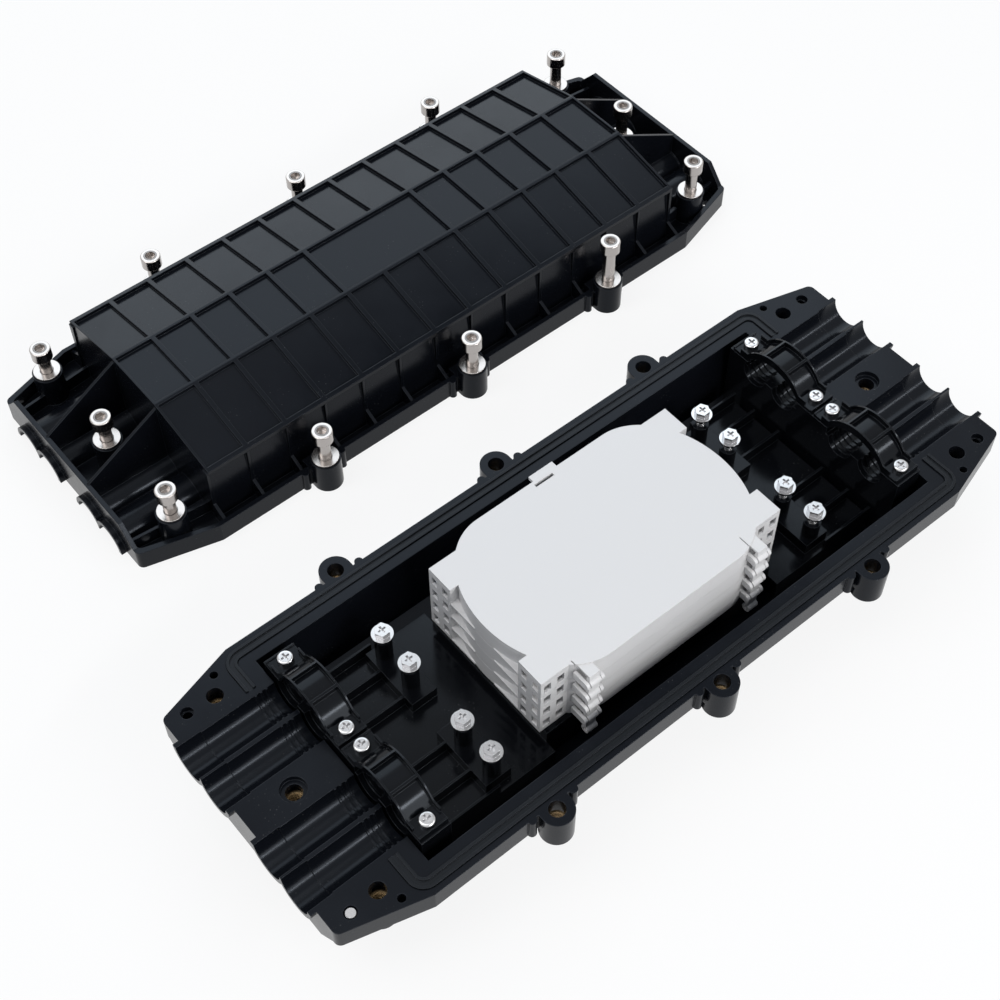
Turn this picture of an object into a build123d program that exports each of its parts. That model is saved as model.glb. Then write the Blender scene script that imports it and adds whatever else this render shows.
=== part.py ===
from build123d import *
import math
import os

# In-line fibre splice closure, opened: the base half with its splice trays, and the
# ribbed cover half lying rim down beside it with its bolts standing in their holes.
# Millimetres. X runs along the length, Y towards the cover, Z up. The origin is on the
# surface that the closure lies on, under the middle of the base half.

os.makedirs("parts", exist_ok=True)

# Shell halves
HALF_HEIGHT = 61.0
BODY_LENGTH = 369.0
BODY_WIDTH = 154.0
SIDE_HEIGHT = 49.0
CROWN_WIDTH = 47.0
WALL = 3.0
WALL_DRAFT = 3.5
ROOF_EDGE = 3.0
RIM_LENGTH = BODY_LENGTH + 110.0
RIM_WIDTH = BODY_WIDTH + 26.0
RIM_END_WIDTH = RIM_WIDTH - 28.0
RIM_TAPER_X = BODY_LENGTH / 2 + 5.5
RIM_CORNER_RADIUS = 4.0
FLANGE_THICKNESS = 4.0
SKIRT_HEIGHT = 14.5
SKIRT_THICKNESS = 3.0
END_WALL_HEIGHT = 28.0
END_WALL_TOP = RIM_END_WIDTH - 32.0
FIN_THICKNESS = 2.0

# Grid of ribs on the outside of each half
RIB_COLUMNS = 13
RIB_WIDTH = 3.0
RIB_DEPTH = 2.5
BLANK_CELLS = 3
GUSSET_THICKNESS = 2.0
GUSSET_INSET = 0.5

# Joint bolts of the two halves
BOLT_END_X = RIM_LENGTH / 2 - 29.5
BOLT_END_Y = RIM_END_WIDTH / 2 - 5.7
LUG_X = BODY_LENGTH * 0.3106
LUG_Y = RIM_WIDTH / 2 + 3.4
LUG_RADIUS = 9.5
LUG_BOSS_HEIGHT = 22.0
END_BOSS_HEIGHT = 26.0
END_BOSS_RADIUS = 9.5
BOLT_DIAMETER = 8.0
BOLT_LENGTH = 40.0
BOLT_HEAD_DIAMETER = 13.0
BOLT_HEAD_HEIGHT = 8.0
BOLT_SOCKET = 6.0
BOLT_SOCKET_DEPTH = 4.0
BOLT_HOLE = 8.6
WASHER_DIAMETER = 17.0
WASHER_HOLE = 8.4
WASHER_THICKNESS = 1.6
INSERT_DIAMETER = 10.6
INSERT_LENGTH = 11.0
INSERT_DEPTH = 12.0
INSERT_BORE_ABOVE = 9.4
INSERT_BORE = 8.2
COUNTERBORE_DIAMETER = 14.6
COUNTERBORE_DEPTH = 3.5
STUB_OFFSET = 13.5
STUB_RADIUS = 2.6

# Blind corner holes of the base rim, wide ones for dowels and narrow ones beside them
DOWEL_X = RIM_LENGTH / 2 - 12.5
DOWEL_Y = RIM_END_WIDTH / 2 - 5.0
DOWEL_HOLE = 7.2
DOWEL_MOUTH_DEPTH = 4.0
DOWEL_BORE = 5.6
NARROW_X = RIM_LENGTH / 2 - 36.0
NARROW_Y = RIM_WIDTH / 2 - 9.0
NARROW_HOLE = 4.6
HOLE_DEPTH = 12.0
HOLE_WALL = 2.0
HOLE_FLOOR = 1.5
DOWEL_LENGTH = 11.5
DOWEL_FIT = 0.1

# Cable ports
PORT_YS = (46.5, 23.2)
PORT_RADIUS = 10.4
PORT_WALL = 2.6
PORT_LIP = 3.5
PORT_LIP_WALL = 3.4
PORT_STEP_LENGTH = 12.0
PORT_STEP = 0.6
PORT_RIDGES = 3
PORT_RIDGE_PITCH = 3.4
PORT_RIDGE_WIDTH = 1.2
PORT_RIDGE_HEIGHT = 0.8

# Seal strips of the base rim
SEAL_Y = (BODY_WIDTH + RIM_WIDTH) / 4
SEAL_END_X = BODY_LENGTH / 2 + 9.0
SEAL_TURN_Y = 61.0
SEAL_WIDTH = 6.0
SEAL_DEPTH = 2.0
SEAL_RIDGE_WIDTH = 1.6
SEAL_RIDGE_HEIGHT = 1.0
SEAL_CLEARANCE = 0.1
SEAL_TURN_RADIUS = 7.0

# Splice trays and their lid
TRAY_COUNT = 4
TRAY_LENGTH = 171.0
TRAY_WIDTH = 109.0
TRAY_END_REACH = 40.0
TRAY_PITCH = 12.0
TRAY_GAP = 0.2
TRAY_FLOOR = 1.5
TRAY_WALL = 1.8
TAB_EDGE_Y = 46.0
TAB_LENGTH = 21.0
TAB_DEPTH = 18.0
TAB_WALL = 1.4
TAB_WINDOW = 4.6
TAB_WINDOW_HEIGHT = 6.4
WEB_LOW_Y = 8.0
LID_THICKNESS = 2.2
STACK_BOTTOM = -22.0
LATCH_X = 3.0
LATCH_LENGTH = 17.0
LATCH_STAND = 4.0
LATCH_SLOT_LENGTH = 13.0
LATCH_SLOT_WIDTH = 2.0
LATCH_SLOT_INSET = 3.0
LID_SLIT_LENGTH = 9.0
LID_SLIT_WIDTH = 0.6
LID_SLIT_OFFSET = -4.5
LID_SLIT_INSET = 0.5

# Tray hinges
HINGE_XS = (-60.0, 60.0)
HINGE_Y = -57.5
HINGE_PIN = 3.0
HINGE_FIT = 0.05
HINGE_EYE_RADIUS = 2.8
HINGE_EYE_WIDTH = 7.0
HINGE_EAR_RADIUS = 2.6
HINGE_EAR_WIDTH = 2.0
HINGE_EAR_GAP = 0.4
HINGE_ARM = 1.8

# Splice holder in each tray
CORE_LENGTH = 34.0
CORE_WIDTH = 46.0
CORE_X = 46.0
CORE_HEIGHT = 7.5
CORE_WALL = 1.6
COMB_LENGTH = 44.0
COMB_WIDTH = 40.0
COMB_HEIGHT = 5.0
COMB_SLOTS = 7
COMB_SLOT_WIDTH = 2.8

# Tray platform
PLATFORM_LENGTH = 166.0
PLATFORM_WIDTH = 98.0
PLATFORM_WALL = 3.0
WING_REACH = BODY_LENGTH / 2 - 26.5
WING_WIDTH = 113.0
WING_TOP = -31.0
WING_RIB_YS = (18.0, 38.8)
WING_RIB_WIDTH = 1.4
PLATFORM_CLEARANCE = 0.2
BLOCK_LENGTH = 17.0
BLOCK_HEIGHT = 8.0
BLOCK_LOW_Y = 10.6
BLOCK_HIGH_Y = 52.0
BLOCK_EDGE_LENGTH = 6.0

# Strength member posts
POST_X = 118.5
POST_YS = (46.2, 22.6)
POST_DIAMETER = 10.0
POST_TOP_LEFT = -7.0
POST_TOP_RIGHT = -12.0
POST_SCREW_DIAMETER = 5.0
POST_SCREW_HEAD = 8.0
POST_SCREW_FLANGE = 12.4
POST_SCREW_FLANGE_THICKNESS = 1.4
POST_SCREW_HEAD_HEIGHT = 4.0
POST_SCREW_TOP = 1.0
POST_SCREW_REACH = 18.0

# Cable clamps
CLAMP_X = BODY_LENGTH / 2 - 13.5
CLAMP_INNER_Y = 6.6
CLAMP_OUTER_Y = 60.0
CLAMP_LAND = 5.6
CLAMP_SEAT = 5.6
CLAMP_RISE = 11.0
CLAMP_WIDTH = 18.0
CLAMP_THICKNESS = 2.0
CLAMP_EDGE_HEIGHT = 3.5
CLAMP_EDGE_THICKNESS = 1.0
CLAMP_LAND_LIP = 0.8
CLAMP_GUSSET_THICKNESS = 1.4
CLAMP_GUSSET_REACH = 9.0
CLAMP_SCREW = 5.0
CLAMP_SCREW_HEAD = 9.0
CLAMP_SCREW_HEAD_HEIGHT = 3.4
CLAMP_SCREW_REACH = 14.0
PILLAR_DIAMETER = 7.6

# Lower cradles that the clamps press the cables onto
CRADLE_RADIUS = 8.6
CRADLE_WALL = 2.4
CRADLE_LENGTH = 18.6
CRADLE_HALF_WIDTH = 67.5
CRADLE_LAND = 3.0
CRADLE_LAND_HALF = 7.4
CRADLE_CLEARANCE = 0.3
CRADLE_RIDGES = 4
SCREW_CLEARANCE = 0.25

# Where the cover half lies
COVER_X = 57.4
COVER_Y = 280.0

# How far each bolt is pushed up out of its hole, in the order of the bolt places
BOLT_LIFTS = {"right_far": 6.0, "right_middle": 6.0, "right_near": 5.0, "near_right": 10.0}

BODY_HALF = BODY_LENGTH / 2
COLUMN_PITCH = BODY_LENGTH / RIB_COLUMNS
CAVITY_HALF = BODY_HALF - WALL
RIM_HALF = RIM_LENGTH / 2


def place(shape, x=0.0, y=0.0, z=0.0):
    """Move a shape."""
    return Pos(x, y, z) * shape


def bolt_places():
    """Names and places of the joint bolts, end bolts first."""
    places = {}
    for end, x in (("left", -BOLT_END_X), ("right", BOLT_END_X)):
        places[f"{end}_far"] = (x, BOLT_END_Y)
        places[f"{end}_middle"] = (x, 0.0)
        places[f"{end}_near"] = (x, -BOLT_END_Y)
    for side, y in (("far", LUG_Y), ("near", -LUG_Y)):
        places[f"{side}_left"] = (-LUG_X, y)
        places[f"{side}_middle"] = (0.0, y)
        places[f"{side}_right"] = (LUG_X, y)
    return places


def is_end_bolt(name):
    """True for a bolt at an end, False for a bolt in a side lug."""
    return name.startswith(("left", "right"))


def boss_height(name):
    """Height of the boss under a bolt's washer, from the rim."""
    return END_BOSS_HEIGHT if is_end_bolt(name) else LUG_BOSS_HEIGHT


def rod(x, y, low, high, diameter):
    """Upright round bar between two heights."""
    bar = Cylinder(diameter / 2, high - low, align=(Align.CENTER, Align.CENTER, Align.MIN))
    return place(bar, x, y, low)


def block(x_low, x_high, y_low, y_high, z_low, z_high):
    """Box between six faces."""
    box = Box(x_high - x_low, y_high - y_low, z_high - z_low, align=(Align.MIN, Align.MIN, Align.MIN))
    return place(box, x_low, y_low, z_low)


def along_x(face_points, x_low, x_high):
    """Extrude an outline in Y and Z along X."""
    face = make_face(Polyline(*[(0, y, z) for y, z in face_points], close=True))
    return extrude(place(face, x_low), x_high - x_low, dir=(1, 0, 0))


# The rim outline

def rim_face(inset=0.0):
    """Flat outline of the rim, tapered towards the ends."""
    half_x = RIM_HALF - inset
    end_y = RIM_END_WIDTH / 2 - inset
    side_y = RIM_WIDTH / 2 - inset
    points = [(half_x, end_y), (RIM_TAPER_X, side_y), (-RIM_TAPER_X, side_y), (-half_x, end_y)]
    points += [(x, -y) for x, y in reversed(points)]
    face = make_face(Polyline(*points, close=True))
    corners = [v for v in face.vertices() if abs(v.X) > RIM_TAPER_X + 1]
    return fillet(corners, RIM_CORNER_RADIUS)


def body_profile():
    """Outer section of the body: walls that lean in, and a roof that overhangs them."""
    side = BODY_WIDTH / 2
    wall = side - WALL_DRAFT
    crown = CROWN_WIDTH / 2
    under = -SIDE_HEIGHT + ROOF_EDGE
    right = [(side, 0), (wall, under), (side, under), (side, -SIDE_HEIGHT), (crown, -HALF_HEIGHT)]
    return right + [(-y, z) for y, z in reversed(right)]


def crown_height(y):
    """Outer height of the arched body at a given Y, below the rim."""
    run = BODY_WIDTH / 2 - CROWN_WIDTH / 2
    slope = (HALF_HEIGHT - SIDE_HEIGHT) / run
    return -HALF_HEIGHT + max(0.0, abs(y) - CROWN_WIDTH / 2) * slope


def cavity_profile():
    """Section of the hollow inside a half."""
    side = BODY_WIDTH / 2 - WALL
    crown = CROWN_WIDTH / 2
    deep = HALF_HEIGHT - WALL - RIB_DEPTH
    shallow = SIDE_HEIGHT - WALL - RIB_DEPTH
    floor = side - WALL_DRAFT
    return [(-side, 0), (-floor, -shallow), (-crown, -deep), (crown, -deep), (floor, -shallow), (side, 0)]


def cavity_floor(y):
    """Height of the inner floor of a half at a given Y, below the rim."""
    run = BODY_WIDTH / 2 - WALL - WALL_DRAFT - CROWN_WIDTH / 2
    slope = (HALF_HEIGHT - SIDE_HEIGHT) / run
    return -HALF_HEIGHT + WALL + RIB_DEPTH + max(0.0, abs(y) - CROWN_WIDTH / 2) * slope


def pocket_outlines():
    """Sections of the recessed cells: far row, middle row, near row."""
    edge = RIB_WIDTH / 2
    deep = -HALF_HEIGHT - 10.0
    inner = CROWN_WIDTH / 2
    outer = BODY_WIDTH / 2 - RIB_WIDTH
    rows = []
    for sign in (1, -1):
        y_in = inner + edge
        rows.append([(sign * y_in, crown_height(y_in) + RIB_DEPTH),
                     (sign * outer, crown_height(outer) + RIB_DEPTH),
                     (sign * outer, deep), (sign * y_in, deep)])
    y_mid = inner - edge
    pocket = -HALF_HEIGHT + RIB_DEPTH
    middle = [(-y_mid, pocket), (y_mid, pocket), (y_mid, deep), (-y_mid, deep)]
    return rows, middle


def rib_grid_pockets(recess_blank):
    """All the recessed cells between the ribs of a half, with or without the blank middle one."""
    rows, middle = pocket_outlines()
    pockets = []
    blank_first = (RIB_COLUMNS - BLANK_CELLS) // 2
    for column in range(RIB_COLUMNS):
        low = -BODY_HALF + column * COLUMN_PITCH + RIB_WIDTH / 2
        high = low + COLUMN_PITCH - RIB_WIDTH
        pockets += [along_x(row, low, high) for row in rows]
        if not blank_first <= column < blank_first + BLANK_CELLS:
            pockets.append(along_x(middle, low, high))
    low = -BODY_HALF + blank_first * COLUMN_PITCH + RIB_WIDTH / 2
    if recess_blank:
        pockets.append(along_x(middle, low, low + BLANK_CELLS * COLUMN_PITCH - RIB_WIDTH))
    return pockets


def side_gusset(x):
    """Pair of ribs at one column line, from the side walls to the skirt."""
    top_wall = BODY_WIDTH / 2 - WALL / 2
    low_wall = top_wall - WALL_DRAFT
    skirt = RIM_WIDTH / 2 - SKIRT_THICKNESS / 2
    stand = BODY_WIDTH / 2 - GUSSET_INSET
    low = -SIDE_HEIGHT + ROOF_EDGE / 2
    top = -FLANGE_THICKNESS / 2
    outline = [(top_wall, top), (skirt, top), (skirt, -SKIRT_HEIGHT + WALL),
               (stand, -SKIRT_HEIGHT - WALL), (stand, low), (low_wall, low)]
    ribs = []
    for sign in (1, -1):
        points = [(sign * y, z) for y, z in outline]
        ribs.append(along_x(points, x - GUSSET_THICKNESS / 2, x + GUSSET_THICKNESS / 2))
    return ribs


def end_ribs(end):
    """Two ribs at one end that converge from the body wall to the end bolts."""
    ribs = []
    for side in (1, -1):
        start = (BODY_HALF - 1, side * (BODY_WIDTH / 2 - 8))
        stop = (RIM_HALF - SKIRT_THICKNESS, side * (RIM_END_WIDTH / 2 - 12))
        length = math.dist(start, stop)
        angle = math.degrees(math.atan2(stop[1] - start[1], stop[0] - start[0]))
        rib = block(0, length, -GUSSET_THICKNESS / 2, GUSSET_THICKNESS / 2, -SKIRT_HEIGHT + 1, -1)
        rib = place(Rot(0, 0, angle) * rib, start[0], start[1])
        ribs.append(rib if end > 0 else mirror(rib, about=Plane.YZ))
    return ribs


def end_walls():
    """Walls at both ends that rise towards the middle, and the two fins that reach them from the roof."""
    end_y = RIM_END_WIDTH / 2 - RIM_CORNER_RADIUS
    top_y = END_WALL_TOP / 2
    outline = [(-end_y, -1), (-end_y, -SKIRT_HEIGHT), (-top_y, -END_WALL_HEIGHT),
               (top_y, -END_WALL_HEIGHT), (end_y, -SKIRT_HEIGHT), (end_y, -1)]
    pieces = [along_x(outline, RIM_HALF - SKIRT_THICKNESS, RIM_HALF)]
    inner = BODY_HALF - 1
    outer = RIM_HALF - SKIRT_THICKNESS / 2
    fin = [(inner, -1), (inner, -HALF_HEIGHT + RIB_DEPTH), (outer, -END_WALL_HEIGHT), (outer, -1)]
    face = make_face(Polyline(*[(x, 0, z) for x, z in fin], close=True))
    for y in (-CROWN_WIDTH / 2, CROWN_WIDTH / 2):
        pieces.append(extrude(place(face, 0, y), FIN_THICKNESS / 2, dir=(0, 1, 0), both=True))
    return pieces + [mirror(piece, about=Plane.YZ) for piece in pieces]


def port_centres():
    """Y of the four ports of an end."""
    return [sign * y for y in PORT_YS for sign in (1, -1)]


def x_bar(x_low, x_high, y, radius):
    """Round bar along X with its centre on the rim plane."""
    bar = Cylinder(radius, x_high - x_low, rotation=(0, 90, 0))
    return place(bar, (x_low + x_high) / 2, y, 0)


def port_outside():
    """Half-round outer walls of the ports of both ends."""
    walls = []
    below = block(-RIM_LENGTH, RIM_LENGTH, -RIM_WIDTH, RIM_WIDTH, -RIM_WIDTH, 0)
    for y in port_centres():
        walls.append(x_bar(BODY_HALF - WALL, RIM_HALF, y, PORT_RADIUS + PORT_WALL) & below)
        lip = x_bar(RIM_HALF - PORT_LIP, RIM_HALF + PORT_LIP, y, PORT_RADIUS + PORT_LIP_WALL)
        walls.append(lip & below)
    return walls + [mirror(wall, about=Plane.YZ) for wall in walls]


def port_troughs():
    """Half-round troughs cut through both ends, wider at the mouth, ridged inside."""
    cuts = []
    mouth = RIM_HALF - PORT_STEP_LENGTH
    ridge_start = BODY_HALF + PORT_RIDGE_PITCH / 2
    for y in port_centres():
        bore = x_bar(CAVITY_HALF - 1, RIM_HALF + 2 * PORT_LIP, y, PORT_RADIUS)
        for count in range(PORT_RIDGES):
            x = ridge_start + count * PORT_RIDGE_PITCH
            ring = x_bar(x, x + PORT_RIDGE_WIDTH, y, PORT_RADIUS + 1)
            ring -= x_bar(x - 1, x + PORT_RIDGE_WIDTH + 1, y, PORT_RADIUS - PORT_RIDGE_HEIGHT)
            bore -= ring
        cuts.append(bore)
        cuts.append(x_bar(mouth, RIM_HALF + 2 * PORT_LIP, y, PORT_RADIUS + PORT_STEP))
    return cuts + [mirror(cut, about=Plane.YZ) for cut in cuts]


def bolt_bosses():
    """Round bosses under the bolts, with the stub ribs beside each side lug."""
    bosses = []
    for name, (x, y) in bolt_places().items():
        radius = END_BOSS_RADIUS if is_end_bolt(name) else LUG_RADIUS
        bosses.append(rod(x, y, -boss_height(name), 0, 2 * radius))
        if not is_end_bolt(name):
            inward = y - math.copysign(LUG_RADIUS, y)
            low, high = sorted((y, inward - math.copysign(SKIRT_THICKNESS, y)))
            bosses.append(block(x - LUG_RADIUS, x + LUG_RADIUS, low, high, -SKIRT_HEIGHT, 0))
            stub_y = math.copysign(RIM_WIDTH / 2, y)
            for side in (-1, 1):
                bosses.append(rod(x + side * STUB_OFFSET, stub_y, -SKIRT_HEIGHT, 0, 2 * STUB_RADIUS))
    return bosses


def half_blank(recess_blank):
    """One half, rim up at zero, before its own holes."""
    rim = rim_face()
    shell = extrude(place(rim, 0, 0, -FLANGE_THICKNESS), FLANGE_THICKNESS)
    skirt = extrude(place(rim, 0, 0, -SKIRT_HEIGHT), SKIRT_HEIGHT)
    skirt -= extrude(place(rim_face(SKIRT_THICKNESS), 0, 0, -SKIRT_HEIGHT), SKIRT_HEIGHT)
    body = along_x(body_profile(), -BODY_HALF, BODY_HALF) - rib_grid_pockets(recess_blank)
    gussets = []
    for line in range(RIB_COLUMNS + 1):
        gussets += side_gusset(-BODY_HALF + line * COLUMN_PITCH)
    shell = shell + [skirt, body] + gussets + end_ribs(1) + end_ribs(-1)
    shell += port_outside() + bolt_bosses() + end_walls()
    cavity = along_x(cavity_profile(), -CAVITY_HALF, CAVITY_HALF)
    return shell - [cavity] - port_troughs()


def corner_holes():
    """Place and width of each blind corner hole of the base."""
    holes = []
    for x in (-1, 1):
        for y in (-1, 1):
            holes.append((x * DOWEL_X, y * DOWEL_Y, DOWEL_HOLE))
            holes.append((x * NARROW_X, y * NARROW_Y, NARROW_HOLE))
    return holes


def seal_face(width, side, ridge=0.0):
    """Plan of a seal strip: along one long side and in beside the outer ports."""
    y = side * (SEAL_Y + ridge)
    x = SEAL_END_X + ridge
    points = [(-x, side * SEAL_TURN_Y), (-x, y), (x, y), (x, side * SEAL_TURN_Y)]
    return trace(FilletPolyline(*points, radius=SEAL_TURN_RADIUS + ridge), width)


def base_shell():
    """Base half: seal grooves, insert holes, screw pillars and corner holes."""
    shell = half_blank(recess_blank=False)
    pillars = []
    holes = []
    for x in (-CLAMP_X, CLAMP_X):
        for y in (CLAMP_OUTER_Y, CLAMP_INNER_Y, -CLAMP_INNER_Y, -CLAMP_OUTER_Y):
            floor = cavity_floor(y) - WALL / 2
            top = CLAMP_SEAT - CRADLE_LAND
            pillars.append(rod(x, y, floor, top, PILLAR_DIAMETER))
            depth = CLAMP_SCREW_REACH + 2
            holes.append(rod(x, y, CLAMP_SEAT - depth, top, CLAMP_SCREW + 2 * SCREW_CLEARANCE))
    for x, y, width in corner_holes():
        bore = min(width, DOWEL_BORE)
        pillars.append(rod(x, y, -HOLE_DEPTH - HOLE_FLOOR, 0, width + 2 * HOLE_WALL))
        holes.append(rod(x, y, -HOLE_DEPTH, 0, bore))
        holes.append(rod(x, y, -DOWEL_MOUTH_DEPTH, 0, width))
    shell += pillars
    for name, (x, y) in bolt_places().items():
        holes.append(rod(x, y, -INSERT_DEPTH - INSERT_LENGTH, -INSERT_DEPTH, INSERT_DIAMETER))
        holes.append(rod(x, y, -INSERT_DEPTH, 0, INSERT_BORE_ABOVE))
        if name.endswith("middle") and is_end_bolt(name):
            holes.append(rod(x, y, -COUNTERBORE_DEPTH, 0, COUNTERBORE_DIAMETER))
    for side in (1, -1):
        groove = seal_face(SEAL_WIDTH + 2 * SEAL_CLEARANCE, side)
        holes.append(extrude(place(groove, 0, 0, -SEAL_DEPTH), SEAL_DEPTH))
    return place(shell - holes, 0, 0, HALF_HEIGHT)


def cover_shell():
    """Cover half, turned rim down, with clear holes for the bolts."""
    shell = half_blank(recess_blank=True)
    holes = []
    for name, (x, y) in bolt_places().items():
        holes.append(rod(x, y, -boss_height(name) - 1, 0, BOLT_HOLE))
    for x, y, width in corner_holes():
        holes.append(rod(x, y, -FLANGE_THICKNESS - 1, 0, min(width, DOWEL_BORE)))
    return place(Rot(180, 0, 0) * (shell - holes), COVER_X, COVER_Y)


def seal_strip(side):
    """One rubber seal strip with its two raised ridges."""
    strip = extrude(place(seal_face(SEAL_WIDTH, side), 0, 0, -SEAL_DEPTH), SEAL_DEPTH)
    offset = (SEAL_WIDTH - SEAL_RIDGE_WIDTH) / 2
    for ridge in (-offset, offset):
        strip += extrude(seal_face(SEAL_RIDGE_WIDTH, side, ridge), SEAL_RIDGE_HEIGHT)
    return place(strip, 0, 0, HALF_HEIGHT)


def brass_inserts():
    """The threaded inserts in the base half, as separate solids."""
    inserts = []
    for x, y in bolt_places().values():
        insert = rod(x, y, -INSERT_DEPTH - INSERT_LENGTH, -INSERT_DEPTH, INSERT_DIAMETER)
        insert -= rod(x, y, -INSERT_DEPTH - INSERT_LENGTH, -INSERT_DEPTH, INSERT_BORE)
        inserts.append(place(insert, 0, 0, HALF_HEIGHT))
    return Compound(inserts)


def cover_bolt(name, x, y):
    """Socket head bolt standing in a hole of the cover."""
    lift = BOLT_LIFTS.get(name, 0.0)
    bolt = rod(0, 0, 0, BOLT_LENGTH, BOLT_DIAMETER)
    head = rod(0, 0, BOLT_LENGTH, BOLT_LENGTH + BOLT_HEAD_HEIGHT, BOLT_HEAD_DIAMETER)
    top = head.edges().filter_by(GeomType.CIRCLE).sort_by(Axis.Z)[-1]
    bolt += fillet(top, 0.8)
    socket = extrude(RegularPolygon(BOLT_SOCKET / 2, 6, major_radius=False), BOLT_SOCKET_DEPTH)
    bolt -= place(socket, 0, 0, BOLT_LENGTH + BOLT_HEAD_HEIGHT - BOLT_SOCKET_DEPTH)
    return place(bolt, COVER_X + x, COVER_Y + y, lift)


def cover_washers():
    """The flat washers under the bolts, as separate solids."""
    washers = []
    for name, (x, y) in bolt_places().items():
        low = boss_height(name)
        washer = rod(x, y, low, low + WASHER_THICKNESS, WASHER_DIAMETER)
        washer -= rod(x, y, low, low + WASHER_THICKNESS, WASHER_HOLE)
        washers.append(place(washer, COVER_X, COVER_Y))
    return Compound(washers)


# Splice trays

def tray_oval(inset=0.0):
    """Plan of a tray's body: straight sides and half oval ends."""
    middle = TRAY_LENGTH / 2 - TRAY_END_REACH
    face = Rectangle(2 * middle, TRAY_WIDTH - 2 * inset)
    for x in (-middle, middle):
        face += Pos(x, 0) * Ellipse(TRAY_END_REACH - inset, TRAY_WIDTH / 2 - inset)
    return face


def tab_centres():
    """Middle of each of the four corner tabs of a tray."""
    x = (TRAY_LENGTH - TAB_LENGTH) / 2
    y = TAB_EDGE_Y - TAB_DEPTH / 2
    return [(x, y), (-x, y), (-x, -y), (x, -y)]


def tray_outline():
    """Plan of a tray with its four square corner tabs."""
    face = tray_oval()
    for x, y in tab_centres():
        face += Pos(x, y) * Rectangle(TAB_LENGTH, TAB_DEPTH)
    return face


def tray_floor_plan():
    """Plan of a tray's floor: the outline with webs between the tabs and the oval ends."""
    face = tray_outline()
    end = TRAY_LENGTH / 2
    corner = TAB_EDGE_Y - TAB_DEPTH
    for x in (-1, 1):
        for y in (-1, 1):
            points = [(x * end, y * corner), (x * (end - TAB_LENGTH / 2), y * corner),
                      (x * (end - TAB_LENGTH / 2), y * WEB_LOW_Y), (x * end, y * WEB_LOW_Y)]
            face += make_face(Polyline(*points, close=True))
    return face


def hinge_eye(x, floor):
    """Eye hanging from a tray, around the pin of the tray below."""
    axis = floor - TRAY_PITCH / 2
    half = HINGE_EYE_WIDTH / 2
    eye = place(Cylinder(HINGE_EYE_RADIUS, HINGE_EYE_WIDTH, rotation=(0, 90, 0)), x, HINGE_Y, axis)
    arm = HINGE_ARM / 2
    eye += block(x - half, x + half, HINGE_Y - arm, HINGE_Y + arm, axis + HINGE_PIN / 2, floor + TRAY_FLOOR)
    eye += block(x - half, x + half, HINGE_Y - arm, HINGE_Y + 9.0, floor, floor + TRAY_FLOOR)
    bore = Cylinder(HINGE_PIN / 2 + HINGE_FIT, HINGE_EYE_WIDTH + 2, rotation=(0, 90, 0))
    return eye - place(bore, x, HINGE_Y, axis)


def hinge_ears(x, floor):
    """Two ears and the pin between them, on the near wall of a tray."""
    axis = floor + TRAY_PITCH / 2
    inner = HINGE_EYE_WIDTH / 2 + HINGE_EAR_GAP
    outer = inner + HINGE_EAR_WIDTH
    pieces = []
    for side in (-1, 1):
        centre = x + side * (inner + outer) / 2
        ear = place(Cylinder(HINGE_EAR_RADIUS, HINGE_EAR_WIDTH, rotation=(0, 90, 0)), centre, HINGE_Y, axis)
        ear += block(centre - HINGE_EAR_WIDTH / 2, centre + HINGE_EAR_WIDTH / 2, HINGE_Y, HINGE_Y + 9.0,
                     axis - HINGE_EAR_RADIUS, axis + HINGE_EAR_RADIUS)
        pieces.append(ear)
    pin = Cylinder(HINGE_PIN / 2, 2 * outer, rotation=(0, 90, 0))
    return pieces + [place(pin, x, HINGE_Y, axis)]


def splice_holder(floor):
    """Winding cores and the comb that holds the splices in a tray."""
    low = floor + TRAY_FLOOR
    pieces = []
    for side in (-1, 1):
        ring = SlotOverall(CORE_WIDTH, CORE_LENGTH, rotation=90)
        inner = SlotOverall(CORE_WIDTH - 2 * CORE_WALL, CORE_LENGTH - 2 * CORE_WALL, rotation=90)
        pieces.append(extrude(Pos(side * CORE_X, 0, low) * (ring - inner), CORE_HEIGHT))
    comb = block(-COMB_LENGTH / 2, COMB_LENGTH / 2, -COMB_WIDTH / 2, COMB_WIDTH / 2, low, low + COMB_HEIGHT)
    pitch = COMB_WIDTH / (COMB_SLOTS + 0.5)
    for slot in range(COMB_SLOTS):
        y = (slot - (COMB_SLOTS - 1) / 2) * pitch
        comb -= block(-COMB_LENGTH, COMB_LENGTH, y - COMB_SLOT_WIDTH / 2, y + COMB_SLOT_WIDTH / 2,
                      low + 1.0, low + COMB_HEIGHT)
    return pieces + [comb]


def tab_hollows(floor):
    """Room inside each corner tab, and the windows in its two outer walls."""
    low = floor + TRAY_FLOOR
    top = floor + TRAY_PITCH
    height = low + TAB_WINDOW_HEIGHT / 2 + TAB_WALL
    cuts = []
    for x, y in tab_centres():
        room = Rectangle(TAB_LENGTH - 2 * TAB_WALL, TAB_DEPTH - 2 * TAB_WALL)
        cuts.append(extrude(Pos(x, y, low) * room, top - low))
        step = TAB_DEPTH / 4
        for shift in (-step, step):
            end_x = math.copysign(TRAY_LENGTH / 2, x)
            side_y = math.copysign(TAB_EDGE_Y, y)
            cuts.append(place(Box(4 * TAB_WALL, TAB_WINDOW, TAB_WINDOW_HEIGHT), end_x, y + shift, height))
            across = end_x - math.copysign(TAB_DEPTH / 2, x) + shift
            cuts.append(place(Box(TAB_WINDOW, 4 * TAB_WALL, TAB_WINDOW_HEIGHT), across, side_y, height))
    return cuts


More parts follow.
